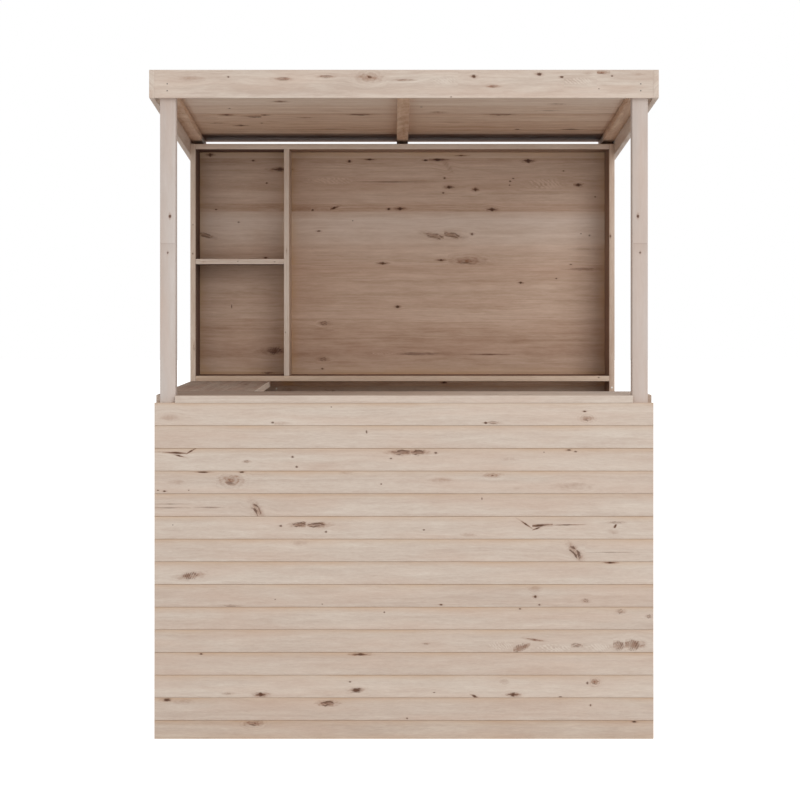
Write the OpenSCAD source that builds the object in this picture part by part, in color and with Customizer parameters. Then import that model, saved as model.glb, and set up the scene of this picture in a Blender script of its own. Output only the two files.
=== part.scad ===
// Timber garden bar with a counter, a return counter, a back shelf unit and a
// roof that falls to the back. Front is -Y. The origin is on the floor, in the
// middle of the whole outline.

/* [Overall] */
// Width across the cladding
bar_w = 1600; // [1300:10:2400]
// Depth from the front cladding face to the rear cladding face
bar_d = 1324; // [1050:2:2000]
// Height of the counter top above the floor
counter_h = 1101; // [900:1:1250]
// Height of the back shelf unit
unit_h = 1996; // [1650:1:2400]
// Height of the roof at its front edge
front_h = 2145; // [2110:1:2600]

/* [Cladding and frame] */
// Thickness of the horizontal cladding boards
clad_t = 16; // [12:1:24]
// Side of the square front posts
post_w = 50; // [40:1:90]
// Thickness of the frame battens behind the cladding
batten_t = 28; // [20:1:45]
// Height of the frame battens on edge
batten_h = 45; // [30:1:70]

/* [Counter] */
// Thickness of the counter boards
counter_t = 24; // [18:1:40]
// Depth of the front counter and width of the return counter
counter_d = 297; // [240:1:400]
// Setback of the counter's outer tongues from the cladding face
tongue_setback = 50; // [44:1:60]
// How far the return counter reaches into the shelf unit
return_reach = 86; // [40:1:120]

/* [Back shelf unit] */
// Depth of the unit's boards
unit_d = 172; // [140:1:300]
// Thickness of the unit's boards
board_t = 20; // [16:1:30]
// Thickness of the upper back panel
panel_t = 12; // [9:1:18]
// Clear width of the narrow bay on the left
narrow_bay_w = 333; // [200:1:500]
// Clear height of the lower compartment in the narrow bay
low_compartment_h = 421; // [250:1:500]

/* [Roof] */
// Thickness of the roof panel
roof_t = 11; // [9:1:20]
// Width of a rafter
rafter_w = 42; // [30:1:60]
// Depth of a rafter
rafter_h = 25; // [20:1:45]
// Height of the fascia boards
fascia_h = 90; // [70:1:140]
// Thickness of the fascia boards
fascia_t = 17; // [12:1:24]
// How far the roof runs past the rear cladding
rear_overhang = 9; // [0:1:60]
// Length of the level seat cut where the rafters rest on the unit
seat_len = 16; // [10:1:40]

/* [Hidden] */

cladding_colour = [0.83, 0.73, 0.62];
frame_colour = [0.78, 0.67, 0.55];
counter_colour = [0.80, 0.72, 0.63];
unit_colour = [0.74, 0.62, 0.50];
panel_colour = [0.70, 0.57, 0.45];
roof_colour = [0.80, 0.70, 0.59];

// Depths below are measured from the face of the front cladding.
half_w = bar_w / 2;
fascia_y = clad_t - fascia_t;
rear_y = bar_d + rear_overhang;
middle_y = (min(0, fascia_y) + rear_y) / 2;
clad_h = counter_h - counter_t;

// Frame: inner face of the side cladding, inner face and rear face of a post.
frame_x = half_w - clad_t;
post_x = frame_x - post_w;
post_y = clad_t + post_w;

// Shelf unit: front plane, front of the back wall, inside faces.
unit_y = bar_d - clad_t - unit_d;
panel_y = bar_d - clad_t;
unit_x = half_w - board_t;
divider_x = -unit_x + narrow_bay_w;
middle_z = counter_h + board_t;
top_z = unit_h - board_t;
shelf_z = middle_z + low_compartment_h;
return_x = -half_w + counter_d;

// Roof: the rafters' underside reaches the top of the unit at the seat.
seat_y = panel_y + panel_t - seat_len;
fall = (front_h - roof_t - rafter_h - unit_h) / (seat_y - fascia_y);
function roof_z(y) = front_h - fall * (y - fascia_y);
function rafter_z(y) = roof_z(y) - roof_t - rafter_h;

// A board given by its two faces along each axis
module board(x, y, z)
    translate([x[0], y[0] - middle_y, z[0]])
        cube([x[1] - x[0], y[1] - y[0], z[1] - z[0]]);

// A piece of constant outline across the bar, its points as [depth, height]
module side_outline(x, points)
    translate([x[0], -middle_y, 0])
        rotate([90, 0, 90])
            linear_extrude(height = x[1] - x[0]) polygon(points);

// A piece of constant thickness, its points as [across, depth]
module plan_outline(z, points)
    translate([0, -middle_y, z[0]])
        linear_extrude(height = z[1] - z[0]) polygon(points);

// Cladding: horizontal boards, each wall as one skin
module front_cladding() color(cladding_colour)
    board([-half_w, half_w], [0, clad_t], [0, clad_h]);

module left_cladding() color(cladding_colour)
    board([-half_w, -frame_x], [clad_t, unit_y], [0, clad_h]);

module right_cladding() color(cladding_colour)
    board([frame_x, half_w], [clad_t, counter_d], [0, clad_h]);

module rear_cladding() color(cladding_colour)
    board([-half_w, half_w], [panel_y, bar_d], [0, clad_h]);

// Square post from the floor to the underside of its rafter
module front_post(x) color(frame_colour)
    side_outline([x, x + post_w],
        [[clad_t, 0], [post_y, 0], [post_y, rafter_z(post_y)], [clad_t, rafter_z(clad_t)]]);

// Frame battens behind the front cladding
module front_rail(z) color(frame_colour)
    board([-post_x, post_x], [clad_t, clad_t + batten_t], [z, z + batten_h]);

module front_middle_stud() color(frame_colour)
    board([-batten_h / 2, batten_h / 2], [clad_t, clad_t + batten_t], [batten_h, clad_h - batten_h]);

// Frame battens behind a side wall. side is -1 on the left and 1 on the right.
module side_batten(side, y, z) color(frame_colour)
    board(side < 0 ? [-frame_x, -frame_x + batten_t] : [frame_x - batten_t, frame_x], y, z);

module left_rail(z) side_batten(-1, [post_y, unit_y - batten_h], [z, z + batten_h]);

module left_middle_stud() {
    stud_y = (post_y + unit_y - 2 * batten_h) / 2;
    side_batten(-1, [stud_y, stud_y + batten_h], [batten_h, clad_h - batten_h]);
}

module left_rear_stud() side_batten(-1, [unit_y - batten_h, unit_y], [0, clad_h]);

module right_rail(z) side_batten(1, [post_y, counter_d - batten_h], [z, z + batten_h]);

module right_rear_stud() side_batten(1, [counter_d - batten_h, counter_d], [0, clad_h]);

// Front counter, notched round both posts, with a short tongue outside each
module front_counter() color(counter_colour) {
    right_half = [[post_x, 0], [post_x, post_y], [frame_x, post_y],
                  [frame_x, tongue_setback], [half_w, tongue_setback], [half_w, counter_d]];
    left_half = [for (i = [len(right_half) - 1:-1:0]) [-right_half[i][0], right_half[i][1]]];
    plan_outline([clad_h, counter_h], concat(right_half, left_half));
}

// Return counter along the left wall, notched round the unit's side board and
// held up under its middle board
module return_counter() color(counter_colour)
    plan_outline([clad_h, counter_h],
        [[-half_w, counter_d], [return_x, counter_d], [return_x, unit_y + return_reach],
         [-unit_x, unit_y + return_reach], [-unit_x, unit_y], [-half_w, unit_y]]);

// Upright side of the shelf unit
module side_board(x) color(unit_colour)
    board([x, x + board_t], [unit_y, panel_y], [0, unit_h]);

// Level board between the unit's two sides
module level_board(z) color(unit_colour)
    board([-unit_x, unit_x], [unit_y, panel_y], [z, z + board_t]);

module divider_board() color(unit_colour)
    board([divider_x, divider_x + board_t], [unit_y, panel_y], [middle_z, top_z]);

module small_shelf() color(unit_colour)
    board([-unit_x, divider_x], [unit_y, panel_y], [shelf_z, shelf_z + board_t]);

module upper_back_panel() color(panel_colour)
    board([-half_w, half_w], [panel_y, panel_y + panel_t], [clad_h, unit_h]);

module front_fascia() color(roof_colour)
    board([-half_w, half_w], [fascia_y, clad_t], [front_h - fascia_h, front_h]);

module side_fascia(x) color(roof_colour)
    side_outline([x, x + fascia_t],
        [[fascia_y, roof_z(fascia_y) - fascia_h], [rear_y, roof_z(rear_y) - fascia_h],
         [rear_y, roof_z(rear_y)], [fascia_y, roof_z(fascia_y)]]);

// Rafter laid flat under the roof panel, with a level seat on the unit
module rafter(x) color(frame_colour)
    side_outline([x, x + rafter_w],
        [[clad_t, rafter_z(clad_t)], [seat_y, unit_h], [rear_y, unit_h],
         [rear_y, roof_z(rear_y) - roof_t], [clad_t, roof_z(clad_t) - roof_t]]);

module roof_panel() color(roof_colour)
    side_outline([-half_w, half_w],
        [[clad_t, roof_z(clad_t) - roof_t], [rear_y, roof_z(rear_y) - roof_t],
         [rear_y, roof_z(rear_y)], [clad_t, roof_z(clad_t)]]);

front_cladding();
left_cladding();
right_cladding();
front_post(-frame_x);  // front_post_left
front_post(post_x);  // front_post_right
front_rail(clad_h - batten_h);  // front_top_rail
front_rail(0);  // front_bottom_rail
front_middle_stud();
left_rail(clad_h - batten_h);  // left_top_rail
left_rail(0);  // left_bottom_rail
left_middle_stud();
left_rear_stud();
right_rail(clad_h - batten_h);  // right_top_rail
right_rail(0);  // right_bottom_rail
right_rear_stud();
front_counter();
return_counter();
side_board(-half_w);  // side_board_left
side_board(unit_x);  // side_board_right
level_board(top_z);  // top_board
level_board(counter_h);  // middle_board
level_board(0);  // base_board
divider_board();
small_shelf();
upper_back_panel();
rear_cladding();
front_fascia();
side_fascia(-half_w - fascia_t);  // side_fascia_left
side_fascia(half_w);  // side_fascia_right
rafter(-half_w);  // rafter_left
rafter(-rafter_w / 2);  // rafter_centre
rafter(half_w - rafter_w);  // rafter_right
roof_panel();
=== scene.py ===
"""Garden bar in planed spruce: shiplap walls, posts, counters, a shelf unit at the back and a roof.

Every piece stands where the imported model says. Front is -Y, up is +Z, lengths are in metres.
"""

import math
import random
from contextlib import contextmanager
from functools import partial

import bmesh
import bpy
from bpy.props import FloatProperty, FloatVectorProperty, PointerProperty
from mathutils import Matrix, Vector


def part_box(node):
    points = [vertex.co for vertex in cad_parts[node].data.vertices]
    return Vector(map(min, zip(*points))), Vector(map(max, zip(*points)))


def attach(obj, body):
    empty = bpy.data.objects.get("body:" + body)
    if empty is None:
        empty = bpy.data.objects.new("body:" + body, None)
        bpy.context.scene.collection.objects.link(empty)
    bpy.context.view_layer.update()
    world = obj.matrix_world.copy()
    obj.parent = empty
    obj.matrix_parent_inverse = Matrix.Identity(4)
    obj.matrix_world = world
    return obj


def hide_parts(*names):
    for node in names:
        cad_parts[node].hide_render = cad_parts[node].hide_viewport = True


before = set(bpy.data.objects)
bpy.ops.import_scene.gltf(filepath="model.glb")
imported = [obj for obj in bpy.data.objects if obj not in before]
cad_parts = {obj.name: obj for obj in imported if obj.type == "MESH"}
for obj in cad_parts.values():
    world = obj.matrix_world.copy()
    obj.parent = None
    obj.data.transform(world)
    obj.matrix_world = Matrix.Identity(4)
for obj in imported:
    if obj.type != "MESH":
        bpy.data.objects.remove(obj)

bl_info = {
    "name": "Garden Bar",
    "version": (1, 0, 0),
    "blender": (4, 5, 0),
    "location": "View3D > Sidebar > Garden Bar",
    "description": "Builds the timber of a garden bar, board by board, with its stage",
    "category": "Add Mesh",
}

MM = 0.001
HAIR = 0.1 * MM  # places closer than this are taken as one
X, Y, Z = 0, 1, 2
BODY = "root"
SMOOTH = {"interpolation_type": "SMOOTHSTEP"}
WHITE = (1, 1, 1, 1)


def linear(hex_colour):
    """An sRGB hex colour as linear red, green and blue."""
    channels = [int(hex_colour[i:i + 2], 16) / 255 for i in (1, 3, 5)]
    return tuple(c / 12.92 if c <= 0.04045 else ((c + 0.055) / 1.055) ** 2.4 for c in channels)


# ---------------------------------------------------------------- sizes and colours a user may change

def length(name, millimetres, description):
    """A length property, its default given in millimetres."""
    return FloatProperty(name=name, description=description, default=millimetres * MM,
                         min=0.0, unit="LENGTH", subtype="DISTANCE", precision=4)


def colour(name, hex_colour, description):
    """A colour property, its default given as sRGB hex."""
    return FloatVectorProperty(name=name, description=description, default=linear(hex_colour),
                               min=0.0, max=1.0, size=3, subtype="COLOR")


class GardenBarSizes(bpy.types.PropertyGroup):
    """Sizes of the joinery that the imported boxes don't give."""
    cover: length("Board cover", 72.7, "Height of wall that one shiplap board covers")
    lap: length("Lap", 8, "How far a board's lip hangs over the tongue below it")
    rebate: length("Rebate", 5, "How far the tongue lies behind the face")
    reveal: length("Reveal", 0.12, "Open joint between a lip and the shoulder below it")
    shoulder: length("Shoulder", 0.75, "Height of the slope from the face down into the rebate")
    clearance: length("Clearance", 0.3, "Gap between a lip's back and the tongue behind it")
    board_arris: length("Board arris", 0.85, "Rounding of a cladding board's lip")
    frame_arris: length("Frame arris", 2, "Rounding of posts, battens and rafters")
    shelf_arris: length("Shelf arris", 1.2, "Rounding of the shelf unit's boards")
    fascia_arris: length("Fascia arris", 0.7, "Rounding of the fascias")
    counter_arris: length("Counter arris", 2.5, "Rounding of the counters' upper edges")
    tongue_setback: length("Tongue setback", 50, "From the counter's nose back to its side tongues")
    rafter_depth: length("Rafter depth", 25, "Plumb depth of a rafter")
    panel_stave: length("Panel stave", 206, "Height of one glued stave in the back panel")
    panel_head: length("Panel head", 42, "Height of the back panel's ripped top stave")
    # The back panel's yellow near the boards that meet it is painted warm shade of its corners.
    panel_joint_shade: length("Panel joint shade", 45, "How far the back panel is stained from a board's side")
    roof_stave: length("Roof stave", 165, "Width of one stave in the roof panel")
    roof_head: length("Roof head", 49, "Width of the roof panel's ripped front stave")
    counter_stave: length("Counter stave", 99, "Width of one stave in a counter")
    nail_head: length("Nail head", 4.2, "Diameter of a fascia nail's head")
    screw_head: length("Screw head", 7, "Diameter of a screw's head")
    head_proud: length("Head proud", 0.4, "How far a nail's or screw's head stands off the wood")


class GardenBarColours(bpy.types.PropertyGroup):
    """Colours of the timber and its fixings."""
    cladding_light: colour("Cladding, early wood", "#DED0C2", "Pale wood between the lines")
    cladding_dark: colour("Cladding, late wood", "#C7B3A4", "Lines and bands of the cladding")
    frame_light: colour("Frame, early wood", "#D5CAC3", "Pale wood of the posts and battens")
    frame_dark: colour("Frame, late wood", "#C8B9AF", "Lines of the posts and battens")
    shelf_light: colour("Shelf unit, early wood", "#D4BEAA", "Pale wood of the shelf unit")
    shelf_dark: colour("Shelf unit, late wood", "#B1937C", "Lines of the shelf unit")
    panel_light: colour("Back panel, early wood", "#DDC3AF", "Pale wood of the back panel")
    panel_dark: colour("Back panel, late wood", "#B99880", "Lines of the back panel")
    roof_light: colour("Roof, early wood", "#E1C4AA", "Pale wood of the roof panel and rafters")
    roof_dark: colour("Roof, late wood", "#AF8567", "Lines of the roof panel and rafters")
    blush: colour("Blush", "#D0AF9A", "Pinker wood between the bands")
    # The joint's yellow is painted warm shade, for light bounced about in joints and corners.
    joint_warm_shade: colour("Joint warm shade", "#C9A582", "Yellower wood along a board's joint")
    knot_core: colour("Knot core", "#54331F", "Dark heart of a knot")
    knot_halo: colour("Knot halo", "#94694F", "Reddish wood round a knot")
    nail: colour("Nail", "#77706B", "Dull zinc of the fascia nails")
    # The screws' near-white stands for a painted glint of their zinc.
    screw: colour("Screw", "#F4F0EA", "Bright zinc of the screws")


# ---------------------------------------------------------------- knots, set out in millimetres

# Each kind of knot: how dark its heart is, how strong its reddish halo is, and its figure. The figure
# is rings above 0, wavy dark strokes at -1, straight ones at -2 and slanting ones at -3. A heart of
# -1 makes the strokes pale.
KNOT_KINDS = {
    "spot": (1.0, 0.7, 0.0),
    "winged": (1.0, 1.0, 0.0),
    "pin": (0.85, 0.3, 0.0),
    "eye": (0.8, 0.7, 0.5),
    "rose": (0.12, 0.75, 0.8),
    "crack": (0.0, 0.7, -1.0),
    "knurl": (0.4, 0.9, -1.0),
    "smear": (0.0, 0.5, -0.5),
    "slash": (0.0, 0.7, -2.0),
    "dabs": (0.0, 0.8, -3.0),
    "burr": (0.22, 0.95, -3.0),
    "feather": (-1.0, 0.12, -3.0),
    "streak": (0.45, 0.25, 0.0),
    "shadow": (0.35, 1.0, 0.0),
    "faint": (0.0, 0.35, 0.0),
}

# Front wall, one list a board from the top board down:
# kind, place across from the middle, height above the floor, half length, half height, turn in degrees.
FRONT_WALL_KNOTS = [
    [("pin", -421, 1014, 5, 4), ("pin", -233, 1064, 2, 2), ("faint", -751, 1030, 15, 9),
     ("faint", -398, 1011, 17, 6),
     ("spot", 262, 1013, 6, 4), ("smear", 285, 1013, 16, 6), ("spot", 579, 1050, 5, 3),
     ("rose", 587, 1027, 12, 8)],
    [("pin", -120, 984, 3, 6)],
    [("winged", -729, 917, 33, 4, -3), ("winged", -684, 922, 16, 3, 30),
     ("winged", -722, 908, 14, 3, -14), ("pin", -344, 872, 4, 4), ("pin", -357, 904, 4, 4),
     ("smear", -504, 889, 8, 5), ("pin", -42, 899, 4, 3), ("knurl", -8, 919, 27, 9),
     ("knurl", 45, 919, 20, 9), ("pin", 102, 917, 5, 4), ("faint", 339, 896, 14, 6),
     ("pin", 449, 919, 2, 2),
     ("spot", 529, 926, 7, 3), ("pin", 550, 921, 5, 3)],
    [("spot", -768, 794, 5, 3), ("pin", -789, 797, 4, 2), ("pin", -690, 797, 2, 2),
     ("spot", -645, 855, 19, 3), ("spot", -520, 855, 8, 3), ("rose", -553, 830, 22, 15),
     ("faint", -730, 824, 14, 8), ("faint", -185, 852, 14, 5), ("pin", -73, 817, 3, 3),
     ("faint", 120, 830, 20, 8), ("eye", 283, 845, 15, 6), ("faint", 359, 803, 6, 3),
     ("faint", 545, 810, 34, 12)],
    [("slash", -470, 734, 21, 14, -57), ("pin", 250, 770, 2, 5), ("streak", -752, 741, 46, 3),
     ("streak", -622, 742, 40, 3), ("streak", -745, 753, 44, 2)],
    [("pin", -741, 686, 2, 2), ("pin", -395, 683, 5, 4), ("knurl", -334, 687, 20, 9),
     ("knurl", -279, 686, 26, 9), ("pin", -250, 664, 4, 4), ("pin", 64, 670, 4, 3),
     ("faint", 212, 654, 14, 6),
     ("winged", 391, 688, 17, 3, -34), ("winged", 434, 684, 34, 5, 4),
     ("winged", 427, 675, 13, 3, 20), ("winged", 520, 686, 34, 2, 1), ("smear", 681, 694, 18, 4),
     ("winged", 677, 682, 12, 4, 62), ("faint", 670, 663, 9, 8)],
    [("faint", -336, 628, 14, 9), ("slash", 550, 598, 22, 14, -52), ("streak", 660, 598, 56, 2)],
    [("dabs", -684, 523, 24, 11, 8), ("winged", 662, 565, 15, 4)],
    [("smear", -555, 427, 20, 4), ("pin", -413, 447, 2, 2), ("pin", -262, 432, 2, 2),
     ("spot", 119, 430, 5, 3), ("spot", 421, 456, 5, 5), ("pin", 434, 430, 4, 3),
     ("faint", 419, 482, 12, 10), ("smear", 583, 443, 8, 7)],
    [("pin", -63, 406, 3, 3), ("pin", 372, 417, 4, 3), ("smear", 694, 408, 9, 8),
     ("smear", 786, 392, 7, 7)],
    [("smear", 71, 305, 8, 3), ("feather", 311, 300, 35, 12), ("burr", 374, 292, 21, 10, 20),
     ("shadow", 418, 318, 18, 4, -8), ("feather", 480, 292, 50, 11), ("smear", 553, 300, 16, 7),
     ("feather", 625, 294, 40, 11), ("dabs", 689, 300, 17, 14), ("burr", 734, 302, 22, 16)],
    [("spot", -650, 272, 5, 3), ("winged", -141, 271, 20, 5)],
    [("smear", -565, 145, 10, 4), ("winged", -459, 142, 15, 8), ("pin", -173, 183, 4, 3),
     ("spot", -152, 156, 16, 9, 6), ("pin", 97, 149, 4, 2), ("spot", 226, 137, 9, 4, -25),
     ("faint", 321, 184, 8, 9), ("winged", 350, 142, 14, 7), ("pin", 501, 135, 6, 2),
     ("pin", 588, 179, 4, 5), ("rose", 611, 183, 9, 9)],
    [("faint", -710, 120, 20, 8), ("spot", -760, 125, 12, 6), ("knurl", -244, 114, 20, 10),
     ("pin", 10, 66, 3, 3), ("pin", 598, 108, 3, 4)],
    [("rose", -482, 50, 17, 8), ("spot", 738, 55, 7, 3)],
]

# Front fascia, one board.
FASCIA_KNOTS = [
    ("faint", -688, 2118, 24, 8), ("pin", -563, 2122, 4, 3), ("dabs", -387, 2116, 19, 6),
    ("dabs", -251, 2123, 18, 5), ("eye", -112, 2121, 23, 13), ("smear", 2, 2112, 24, 4),
    ("feather", 130, 2110, 44, 9), ("spot", 224, 2124, 7, 6), ("shadow", 286, 2092, 12, 5),
    ("spot", 434, 2131, 8, 6), ("spot", 506, 2122, 6, 4), ("feather", 560, 2108, 44, 10),
    ("faint", 590, 2133, 8, 4), ("rose", 636, 2136, 16, 5), ("pin", 667, 2125, 4, 3),
    ("pin", 625, 2084, 2, 2), ("pin", 151, 2058, 3, 2), ("faint", 748, 2130, 16, 4),
]

# Back panel, seen between the shelves.
BACK_PANEL_KNOTS = [
    ("winged", -741, 1967, 11, 8), ("pin", -575, 1945, 6, 4), ("winged", -470, 1911, 26, 9),
    ("pin", -523, 1858, 4, 4), ("pin", -718, 1756, 5, 3), ("pin", -631, 1707, 5, 4),
    ("knurl", -757, 1656, 26, 9, -14), ("spot", -527, 1570, 7, 4), ("pin", -658, 1382, 2, 8),
    ("burr", -490, 1211, 30, 13), ("rose", -516, 1129, 14, 7), ("spot", -204, 1942, 6, 6),
    ("winged", -126, 1949, 14, 4), ("feather", -280, 1867, 74, 12),
    ("streak", -40, 1863, 120, 4), ("spot", 90, 1946, 9, 4),
    ("pin", -346, 1754, 6, 5), ("winged", -263, 1762, 14, 5, 20), ("faint", -402, 1757, 44, 8),
    ("faint", -308, 1756, 26, 7), ("pin", -191, 1713, 3, 3),
    ("spot", -322, 1673, 8, 4), ("winged", -75, 1549, 15, 6), ("winged", 138, 1948, 26, 6),
    ("faint", 172, 1927, 22, 10, -50), ("winged", 226, 1964, 16, 3), ("winged", 486, 1944, 16, 9),
    ("pin", 163, 1877, 5, 5), ("winged", 181, 1842, 12, 7), ("pin", 158, 1820, 5, 4),
    ("winged", 282, 1833, 9, 8), ("pin", 416, 1865, 5, 4), ("pin", 428, 1876, 5, 3),
    ("pin", 414, 1850, 3, 3), ("feather", 550, 1856, 66, 18),
    ("pin", 622, 1905, 4, 3), ("winged", 679, 1851, 12, 8),
    ("pin", 744, 1805, 4, 3), ("winged", -8, 1759, 14, 7), ("spot", -52, 1758, 7, 5),
    ("winged", 346, 1756, 14, 8), ("knurl", 126, 1654, 32, 12, -14),
    ("knurl", 193, 1657, 30, 12, -12), ("spot", 269, 1661, 6, 6), ("pin", 689, 1663, 3, 3),
    ("pin", 722, 1656, 4, 4), ("winged", 161, 1089, 9, 5), ("winged", 149, 1561, 13, 5),
    ("rose", 254, 1558, 38, 13), ("pin", 650, 1543, 5, 4),
    ("faint", 724, 1603, 40, 4), ("smear", 700, 1526, 40, 6), ("winged", 457, 1474, 7, 5),
    ("pin", 594, 1490, 4, 3), ("spot", -18, 1381, 8, 6), ("smear", -301, 1317, 14, 9),
    ("faint", -281, 1291, 10, 6), ("pin", -308, 1142, 5, 4), ("smear", -304, 1178, 13, 8),
    ("smear", 62, 1200, 64, 6), ("shadow", 330, 1197, 50, 3), ("feather", -78, 1200, 44, 6),
]

# Back panel: height above the floor and depth of colour there, from its foot to its head. Two
# depths at one height are the step between two staves. Here and in the lists after it, a depth stands
# for the wood's own colour together with painted shade, and a paler one with painted light, where the
# lamps don't give them.
BACK_PANEL_SHADES = [
    (1077, 0.25), (1130, 0.15), (1130, 0.05), (1165, 0.05), (1198, 0.37), (1240, 0.23), (1336, 0.12),
    (1336, 0.0), (1365, 0.04), (1395, 0.12), (1430, 0.0), (1542, 0.12), (1542, -0.02),
    (1612, -0.1), (1628, -0.25), (1715, -0.38), (1748, -0.18), (1748, 0.14), (1774, 0.12),
    (1782, -0.08), (1815, -0.1), (1850, 0.08), (1885, -0.02), (1925, 0.0), (1945, 0.2),
    (1954, 0.22), (1954, -0.13), (1996, -0.05),
]
# Underside of the roof: the same, by place from front to back. Above the top board it is darkest, in
# painted shade.
ROOF_SHADES = [
    (-650, -0.7), (-214, -0.4), (-120, -0.4), (-60, -0.27), (54, -0.28), (56, 0.45), (61, 0.45),
    (66, -0.1), (95, -0.1), (121, -0.2), (200, -0.2), (224, -0.08), (384, -0.05), (386, 0.4),
    (391, 0.4), (396, -0.02), (470, -0.04), (500, 1.0), (667, 1.0),
]
# Front counter's top: the same from left to right. It is darker towards the return counter.
COUNTER_SHADES = [(-800, 1.2), (-300, 1.1), (0, 0.6), (250, 0.1), (800, 0.0)]
COUNTER_END_SHADES = [(784, 0.55), (800, 0.55)]

# Underside of the roof: place across and place from front to back.
ROOF_KNOTS = [
    ("winged", -425, -180, 20, 20), ("pin", -610, -46, 5, 10), ("winged", -630, 82, 18, 20),
    ("knurl", -532, 118, 24, 22), ("winged", -495, 84, 14, 14), ("knurl", -154, 74, 34, 22),
    ("faint", -234, 5, 24, 14), ("faint", -697, 152, 15, 18), ("smear", -676, 252, 24, 18),
    ("winged", -596, 298, 17, 18), ("pin", -516, 249, 5, 10), ("faint", -474, 217, 11, 16),
    ("shadow", -352, 136, 18, 14), ("smear", -257, 382, 36, 20), ("faint", -418, 399, 25, 20),
    ("pin", 64, -75, 5, 9), ("rose", 124, 31, 16, 18), ("knurl", 346, 68, 36, 24),
    ("rose", 534, -128, 18, 16), ("streak", 517, -2, 40, 12), ("faint", 705, -106, 12, 14),
    ("winged", 628, 383, 28, 18), ("spot", 428, 382, 9, 12), ("faint", 185, 239, 20, 16),
]

# Front posts: kind, height above the floor, place across from the middle, half length, half height.
POST_KNOTS = {
    "left": [("spot", 1676, -752, 6, 5), ("pin", 1559, -759, 4, 3)],
    "right": [("spot", 1676, 752, 6, 5), ("pin", 1559, 759, 4, 4)],
}
# Height along a front post, and depth of colour there: a glued joint, and the shade of the fascia.
POST_SHADES = [
    (1550, 0.0), (1587, 0.18), (1587, 0.35), (1590, 0.35), (1590, 0.02), (1850, 0.02), (2055, 0.15),
]
# Front edges of the shelf unit's boards: the same, by place along the board and place across its edge.
EDGE_KNOTS = {
    "small_shelf": [("rose", -749, 1552, 6, 3), ("pin", -621, 1553, 3, 2), ("pin", -482, 1551, 4, 2)],
    "middle_board": [("pin", 740, 1115, 4, 3)],
    "divider_board": [("rose", 1594, -437, 6, 3), ("pin", 1285, -441, 4, 2)],
    "side_board_left": [("pin", 1582, -791, 4, 3), ("pin", 1691, -790, 3, 2),
                        ("smear", 1228, -786, 12, 5)],
    "side_board_right": [("spot", 1648, 784, 6, 4)],
}
# How the faces of the shelf unit's boards differ in colour, by the axis and way that they face:
# front edges paler, as painted light, and the sides inside, the tops and the undersides deeper, as
# painted shade. The middle board has painted warm shade where it lies on the counter.
BOARD_LOOKS = {
    "side_board_left": {"depths": [(Y, -1, -0.25), (X, 1, 1.7)]},
    "side_board_right": {"depths": [(Y, -1, -0.18), (X, -1, 0.95)]},
    "divider_board": {"depths": [(Y, -1, -0.4)]},
    "top_board": {"depths": [(Y, -1, -0.28), (Z, 1, 1.4)],
                  "shades": [(X, Z, -1, [(-800, 1.7), (-447, 1.7), (-427, 0.9), (800, 0.9)])]},
    "middle_board": {"depths": [(Y, -1, -0.15), (Z, 1, 1.2)],
                     "abuts": [(Z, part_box("return_counter")[1][Z])]},
    "base_board": {"depths": [(Y, -1, -0.25)]},
    "small_shelf": {"depths": [(Y, -1, -0.4), (Z, -1, 1.7)]},
}
# The last board of a clad wall: how far up its two bands of painted warm shade meet, how far below
# it the lower one starts, and how much deeper its face is in colour, as painted shade.
FOOT_CUT, FOOT_DROP, FOOT_DEPTH = 32 * MM, 6 * MM, 0.25


# ---------------------------------------------------------------- fixings and stage

# Nails above the fascia's lower edge, and the rear wall's screw from the foot of the divider: how far
# to its left and how far below the counter.
NAIL_HEIGHTS = (23 * MM, 45 * MM)
WALL_SCREW = (38.5 * MM, 11.5 * MM)

# Place, width and height, and power in watts of each lamp. They face the middle of the bar.
LAMPS = {
    "key": ((7.0, -12.9, 8.1), (8.1, 8.1), 696),
    "front": ((0.0, -8.0, 1.1), (8.0, 1.9), 30),
}
LAMP_TARGET = (0, 0, 1.1)
# Strength of the light from all round, and how much the floor glows where it is seen directly.
ROOM_LIGHT = 0.66
FLOOR_GLOW = 0.7
FLOOR_SIZE = 80

# The camera stands square to the front at standing height, with its lens shifted down to the bar.
CAMERA_PLACE = (-0.0322, -7.106, 1.4065)
CAMERA_LENS = 90.4
CAMERA_SHIFT = (0.0076, -0.1248)


# ---------------------------------------------------------------- working by hand in edit mode

def along_axis(axis, amount):
    """A vector of an amount along one axis."""
    return [amount if each == axis else 0.0 for each in (X, Y, Z)]


def take_up(piece):
    """Leaves one piece selected and active, and everything else deselected."""
    bpy.ops.object.select_all(action="DESELECT")
    bpy.context.view_layer.objects.active = piece
    piece.select_set(True)


@contextmanager
def edit(piece):
    """Works on a piece in edit mode, with all of it selected at the start."""
    take_up(piece)
    bpy.ops.object.mode_set(mode="EDIT")
    bpy.ops.mesh.select_all(action="SELECT")
    yield
    bpy.ops.object.mode_set(mode="OBJECT")


def pick(piece, kind, wanted):
    """In edit mode, selects only the points, edges or faces whose middle is wanted."""
    bpy.ops.mesh.select_mode(type=kind)
    bpy.ops.mesh.select_all(action="DESELECT")
    mesh = bmesh.from_edit_mesh(piece.data)
    for part in {"VERT": mesh.verts, "EDGE": mesh.edges, "FACE": mesh.faces}[kind]:
        points = [part.co] if kind == "VERT" else [v.co for v in part.verts]
        if wanted(sum(points, Vector()) / len(points)):
            part.select_set(True)
    mesh.select_flush_mode()
    bmesh.update_edit_mesh(piece.data)


def block(name, low, high):
    """A block between two corners, with its place in its mesh."""
    bpy.ops.object.select_all(action="DESELECT")
    low, high = Vector(low), Vector(high)
    bpy.ops.mesh.primitive_cube_add(size=1, calc_uvs=False, location=(low + high) / 2)
    piece = bpy.context.object
    piece.name = piece.data.name = name
    piece.scale = high - low
    bpy.ops.object.transform_apply(location=True, rotation=False, scale=True)
    return piece


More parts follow.
